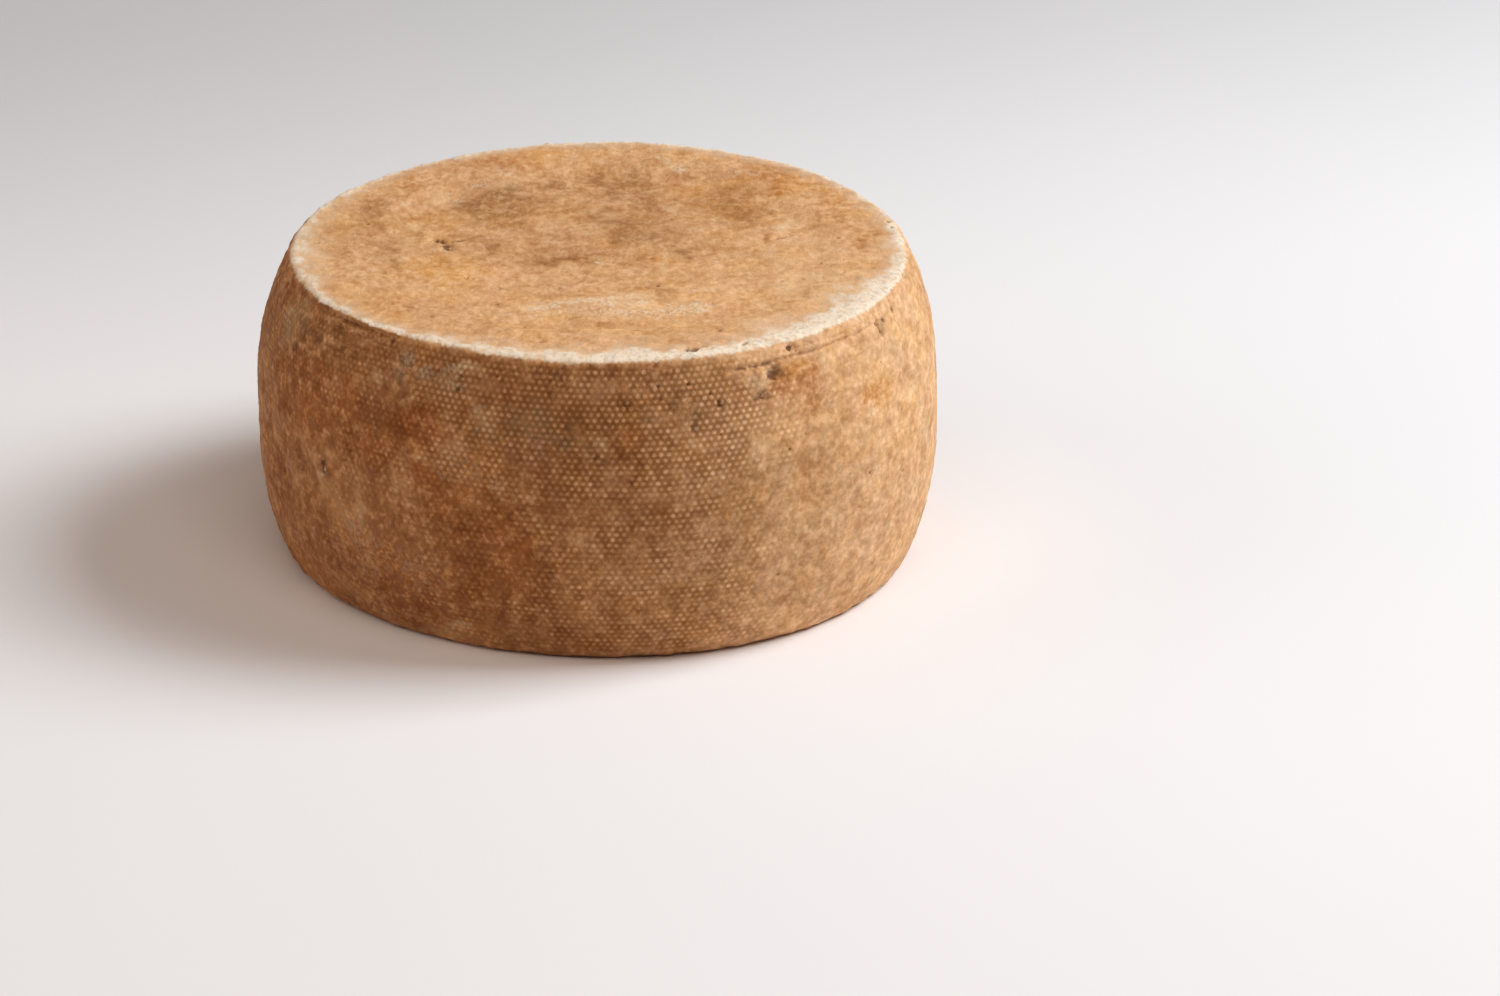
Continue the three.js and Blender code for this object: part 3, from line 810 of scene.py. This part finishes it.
def timesTint(tree, share, colour, tint):
    return blended(tree, share, colour, blended(tree, 1.0, colour, (*tint, 1.0), "MULTIPLY"))


def toned(tree, colour, tone, side, onTop, onSide):  # a colour times a tone, with each channel's own power
    parts = addNode(tree, "ShaderNodeCombineColor")
    for index, (above, around) in enumerate(zip(onTop, onSide)):
        power = between(tree, side, 0.0, 1.0, above, around)
        fill(tree, parts.inputs[index], maths(tree, "POWER", tone, power))
    return blended(tree, 1.0, colour, parts.outputs[0], "MULTIPLY")


def rindFinish():
    material = bpy.data.materials.new("natural_rind")
    material.use_nodes = True
    tree = material.node_tree
    shader = tree.nodes["Principled BSDF"]
    place = addNode(tree, "ShaderNodeTexCoord").outputs["Object"]
    drawn = stretchedBy(tree, place, rind["drawn"])

    drifts = cloud(tree, place, rind["cloud"], 4, 0.6, 2.1, 0.4)
    blotch = cloud(tree, place, rind["blotch"], 4, 0.6, 0.5, 0.3)
    mottle = cloud(tree, drawn, rind["mottle"], 4, 0.62, 0.9, 0.2)
    grain = cloud(tree, drawn, rind["grain"], 3, 0.6, 1.3)
    speck = cloud(tree, drawn, rind["speck"], 2, 0.5, 1.7)
    crumb = maths(tree, "MULTIPLY", maths(tree, "ADD", mottle, grain), 0.5)
    mask = {name: maskOf(tree, name) for name in growth["masks"]}
    aged = maths(tree, "MULTIPLY", mask["side"], mask["brown"])

    # ground colour: tan to toasted above, fair to bark round the side
    patchy = between(tree, crumb, 0.36, 0.62, 0.86, 1.14)
    darker = maths(tree, "MULTIPLY", mask["brown"], patchy, clamp=True)
    above = blended(tree, darker, paint(*rind["tan"]), paint(*rind["toast"]))
    around = blended(tree, darker, paint(*rind["fair"]), paint(*rind["bark"]))
    colour = blended(tree, mask["side"], above, around)

    # drifts of warmer, rosier and duller rind
    colour = timesTint(tree, between(tree, drifts, 0.46, 0.64, 0.0, 0.45), colour, rind["ochreTint"])
    colour = timesTint(tree, between(tree, drifts, 0.54, 0.36, 0.0, 0.6), colour, rind["roseTint"])
    colour = timesTint(tree, between(tree, blotch, 0.54, 0.66, 0.0, 0.34), colour, rind["rustTint"])
    colour = timesTint(tree, between(tree, blotch, 0.46, 0.34, 0.0, 0.5), colour, rind["dullTint"])

    # stains and growths, each broken up by its own grain
    colour = timesTint(tree, frayed(tree, mask["ochre"], mottle), colour, rind["ochreTint"])
    colour = timesTint(tree, frayed(tree, mask["rust"], crumb), colour, rind["rustTint"])
    colour = timesTint(tree, frayed(tree, mask["mould"], crumb, 0.8), colour, rind["mouldTint"])

    # pale bloom in patches
    bloomed = maths(tree, "MULTIPLY", frayed(tree, mask["pale"], crumb, 0.7), rind["bloomShare"])
    colour = blended(tree, bloomed, colour, paint(*rind["bloom"]))

    # uneven depth of tone, stronger where the rind is aged
    swing = maths(tree, "SUBTRACT", between(tree, aged, 0.0, 1.0, 0.0, 0.15),
                  maths(tree, "MULTIPLY", mask["press"], 0.4))
    swing = maths(tree, "ADD", swing, between(tree, mask["side"], 0.0, 1.0, *rind["closeSwing"]))
    slow = between(tree, cloud(tree, place, rind["slow"], 3, 0.55, 2.6, 0.5), 0.36, 0.64, 1.06, 0.94)
    broad = maths(tree, "MULTIPLY", between(tree, blotch, 0.34, 0.66, 1.06, 0.94),
                  maths(tree, "POWER", slow, between(tree, aged, 0.0, 1.0, 0.7, 1.9)))
    broad = maths(tree, "MULTIPLY", broad,
                  maths(tree, "POWER", between(tree, mottle, 0.32, 0.68, 1.12, 0.85), swing))
    close = maths(tree, "MULTIPLY", between(tree, grain, 0.32, 0.68, 1.1, 0.9),
                  between(tree, speck, 0.56, 0.7, 1.0, 0.92))
    close = maths(tree, "POWER", close, swing)

    # the imprint: painted shade in the hollows, and tops paler than the ground
    pressed = maths(tree, "MAXIMUM", mask["press"], 0.05)
    nub = between(tree, maths(tree, "DIVIDE", mask["nubTop"], pressed), 0.0, 0.85)
    nub = maths(tree, "MULTIPLY", nub, mask["press"])
    hollowness = maths(tree, "SUBTRACT", mask["press"], nub, clamp=True)
    close = maths(tree, "MULTIPLY", close, between(tree, hollowness, 0.0, 1.0, 1.0, 1 - rind["hollowShade"]))
    close = maths(tree, "MULTIPLY", close, between(tree, nub, 0.0, 1.0, 1.0, 1 + rind["nubTone"]))

    # fine lines that run round under the rim
    lines = cloud(tree, stretchedBy(tree, place, rind["streakDrawn"]), rind["streakSize"], 3, 0.6, 3.1)
    lines = between(tree, lines, 0.34, 0.66, 1.2, 0.8)
    close = maths(tree, "MULTIPLY", close, maths(tree, "POWER", lines, mask["streak"]))
    colour = toned(tree, colour, broad, mask["side"], rind["broadOnTop"], rind["broadOnSide"])
    colour = toned(tree, colour, close, mask["side"], rind["closeTone"], rind["closeTone"])

    # pale flecks
    clump = maths(tree, "MULTIPLY", maths(tree, "ADD", speck, mottle), 0.5)
    flecks = between(tree, mask["fleck"], 0.1, 0.9)
    flecks = maths(tree, "MULTIPLY", between(tree, clump, 0.45, 0.62), flecks)
    flecks = maths(tree, "MULTIPLY", flecks, between(tree, mask["side"], 0.0, 1.0, *rind["fleckShare"]))
    colour = blended(tree, flecks, colour, paint(*rind["dust"]))

    # chalk along the rim
    chalky = frayed(tree, mask["chalk"], crumb, 0.4, 0.08, 0.95)
    thick = between(tree, mask["chalk"], 0.3, 0.75)
    chalkTone = blended(tree, between(tree, grain, 0.46, 0.66), paint(*rind["chalk"]), paint(*rind["pore"]))
    stained = maths(tree, "MULTIPLY", thick, between(tree, mottle, 0.54, 0.66, 0.0, 0.35))
    chalkTone = blended(tree, stained, chalkTone, paint(*rind["bluish"]))
    chalkTone = blended(tree, thick, paint(*rind["pore"]), chalkTone)
    colour = blended(tree, maths(tree, "MULTIPLY", chalky, rind["chalkShare"]), colour, chalkTone)
    # painted shade: cracks and pits darkened towards a dark brown, most where they are deepest
    hollow = between(tree, mask["pit"], 0.1, 0.85, 0.0, rind["holeShadeShare"])
    colour = blended(tree, hollow, colour, paint(*rind["holeShadeColour"]))
    tree.links.new(colour, shader.inputs["Base Color"])

    dull = between(tree, blotch, 0.3, 0.7, *rind["roughness"])
    dull = maths(tree, "MAXIMUM", dull, maths(tree, "MULTIPLY", chalky, rind["chalkRoughness"]))
    tree.links.new(dull, shader.inputs["Roughness"])
    shader.inputs["Specular IOR Level"].default_value = rind["specular"]

    relief = maths(tree, "ADD", mottle, maths(tree, "MULTIPLY", grain, 0.8))
    relief = maths(tree, "ADD", relief, maths(tree, "MULTIPLY", speck, 0.25))
    depth = maths(tree, "ADD", between(tree, mask["side"], 0.0, 1.0, *rind["relief"]),
                  maths(tree, "MULTIPLY", aged, rind["agedRelief"]))
    bump = addNode(tree, "ShaderNodeBump", Strength=depth, Distance=rind["reliefDepth"], Height=relief)
    tree.links.new(bump.outputs[0], shader.inputs["Normal"])
    return material


cheeseWheel(rindFinish())
print("cheese wheel made")


# Floor, light and camera

studio = dict(
    floorSize=9.0, floorTone=(249, 247, 246),
    shadedFarTone=(222, 220, 219), farSide=(-0.45, 1.0, 0.0),  # painted shade: the floor is darker towards this side, where the light falls off
    farFrom=0.15, farTo=0.75,  # metres along that direction
    floorRoughness=0.85, floorSpecular=0.15,
    lamps=[  # name, place, size, power, colour
        ("soft_box", (1.694, 0.311, 1.784), 1.18, 52.7, (0.952, 1.013, 1.075)),
        ("front_panel", (0.07, -0.80, 1.50), 1.2, 6.1, (1.128, 0.956, 0.85)),
        ("left_panel", (-1.6, -0.3, 0.8), 1.2, 6.1, (1.128, 0.956, 0.85)),
    ],
    skyColour=(0.10, 0.086, 0.076), skySeen=(0.72, 0.70, 0.69),
)


def makeFloor():
    bm = bmesh.new()
    bmesh.ops.create_grid(bm, x_segments=8, y_segments=8, size=studio["floorSize"] / 2)
    data = bpy.data.meshes.new("floor")
    bm.to_mesh(data)
    bm.free()
    material = bpy.data.materials.new("pale_board")
    material.use_nodes = True
    tree = material.node_tree
    shader = tree.nodes["Principled BSDF"]
    place = addNode(tree, "ShaderNodeTexCoord").outputs["Object"]
    drift = between(tree, cloud(tree, place, 0.4, 2), 0.3, 0.7, 0.985, 1.0)
    along = addNode(tree, "ShaderNodeVectorMath", dict(operation="DOT_PRODUCT"))
    fill(tree, along.inputs[0], place)
    fill(tree, along.inputs[1], studio["farSide"])
    # painted shade: the floor's tone darkens towards the far side, as the light falls off
    far = between(tree, along.outputs["Value"], studio["farFrom"], studio["farTo"])
    tone = blended(tree, far, paint(*studio["floorTone"]), paint(*studio["shadedFarTone"]))
    tone = blended(tree, 1.0, tone, drift, "MULTIPLY")
    tree.links.new(tone, shader.inputs["Base Color"])
    shader.inputs["Roughness"].default_value = studio["floorRoughness"]
    shader.inputs["Specular IOR Level"].default_value = studio["floorSpecular"]
    data.materials.append(material)
    floor = bpy.data.objects.new("floor", data)
    bpy.context.scene.collection.objects.link(floor)


def makeLight():
    for name, place, size, power, colour in studio["lamps"]:
        lamp = bpy.data.lights.new(name, "AREA")
        lamp.size = size
        lamp.energy = power
        lamp.color = colour
        holder = bpy.data.objects.new(name, lamp)
        holder.location = place
        holder.rotation_euler = (-Vector(place)).to_track_quat("-Z", "Y").to_euler()
        bpy.context.scene.collection.objects.link(holder)

    world = bpy.data.worlds.new("studio")
    world.use_nodes = True
    tree = world.node_tree
    sky = tree.nodes["Background"]
    seen = addNode(tree, "ShaderNodeBackground", Color=(*studio["skySeen"], 1.0))
    sky.inputs["Color"].default_value = (*studio["skyColour"], 1.0)
    direct = addNode(tree, "ShaderNodeLightPath").outputs["Is Camera Ray"]
    mix = addNode(tree, "ShaderNodeMixShader")
    for index, socket in enumerate((direct, sky.outputs[0], seen.outputs[0])):
        tree.links.new(socket, mix.inputs[index])
    tree.links.new(mix.outputs[0], tree.nodes["World Output"].inputs["Surface"])
    bpy.context.scene.world = world
    bpy.context.scene.view_settings.view_transform = "Standard"


camera = dict(
    lens=134.4, sensor=36.0,
    tiltDown=23.03, roll=0.93,  # degrees
    distance=2.116, aim=(0.0565, 0.0338, -0.0004),
)


def makeCamera():
    tilt, roll = math.radians(camera["tiltDown"]), math.radians(camera["roll"])
    ahead = Vector((0, math.cos(tilt), -math.sin(tilt)))
    level = Vector((0, math.sin(tilt), math.cos(tilt)))
    across = Vector((1, 0, 0)) * math.cos(roll) + level * math.sin(roll)
    lens = bpy.data.cameras.new("camera")
    lens.lens = camera["lens"]
    lens.sensor_width = camera["sensor"]
    lens.clip_end = 50
    holder = bpy.data.objects.new("camera", lens)
    turn = Matrix((across, -ahead.cross(across), -ahead)).transposed().to_4x4()
    holder.matrix_world = Matrix.Translation(Vector(camera["aim"]) - ahead * camera["distance"]) @ turn
    bpy.context.scene.collection.objects.link(holder)
    bpy.context.scene.camera = holder


makeFloor()
makeLight()
makeCamera()
print("floor, light and camera placed")
